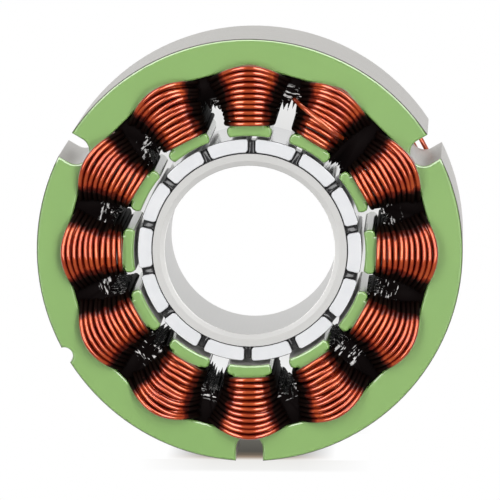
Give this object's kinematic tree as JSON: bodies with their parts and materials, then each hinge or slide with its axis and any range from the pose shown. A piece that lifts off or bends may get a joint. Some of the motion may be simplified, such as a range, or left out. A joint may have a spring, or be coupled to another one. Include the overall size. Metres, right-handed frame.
{
  "type": "frameless motor",
  "caption": "Frameless torque motor: a slotted stator ring with wound coils on its teeth and a magnet rotor ring with a through bore.",
  "frame": {"origin": "on the motor axis at the middle of the lamination stack", "axes": "+Z along the motor axis towards the front face; a notch in the rim lies towards -Y"},
  "size_m": [0.085, 0.0849, 0.0354],
  "materials": {
    "lamination_steel": "ground edge of a lamination stack",
    "green_coat": "satin powder coat",
    "copper_wire": "glossy red enamel over copper",
    "hub_steel": "fine turned",
    "adhesive": "cured black adhesive",
    "magnet_plating": "satin nickel plating"
  },
  "bodies": {
    "stator": {"stator_core": "lamination_steel", "powder_coat": "green_coat", "coil_01": "copper_wire", "coil_02": "copper_wire", "coil_03": "copper_wire", "coil_04": "copper_wire", "coil_05": "copper_wire", "coil_06": "copper_wire", "coil_07": "copper_wire", "coil_08": "copper_wire", "coil_09": "copper_wire", "coil_10": "copper_wire", "coil_11": "copper_wire", "coil_12": "copper_wire", "jumper_u": "copper_wire", "jumper_v": "copper_wire", "jumper_w": "copper_wire", "star_wire": "copper_wire"},
    "rotor": {"rotor_hub": "hub_steel", "magnet_adhesive": "adhesive", "magnet_01": "magnet_plating", "magnet_02": "magnet_plating", "magnet_03": "magnet_plating", "magnet_04": "magnet_plating", "magnet_05": "magnet_plating", "magnet_06": "magnet_plating", "magnet_07": "magnet_plating", "magnet_08": "magnet_plating", "magnet_09": "magnet_plating", "magnet_10": "magnet_plating", "magnet_11": "magnet_plating", "magnet_12": "magnet_plating", "magnet_13": "magnet_plating", "magnet_14": "magnet_plating"}
  },
  "joints": [
    {"name": "rotor_spin", "type": "hinge", "parent": "stator", "child": "rotor", "pos_m": [0, 0, 0], "axis": [0, 0, 1], "continuous": true}
  ]
}
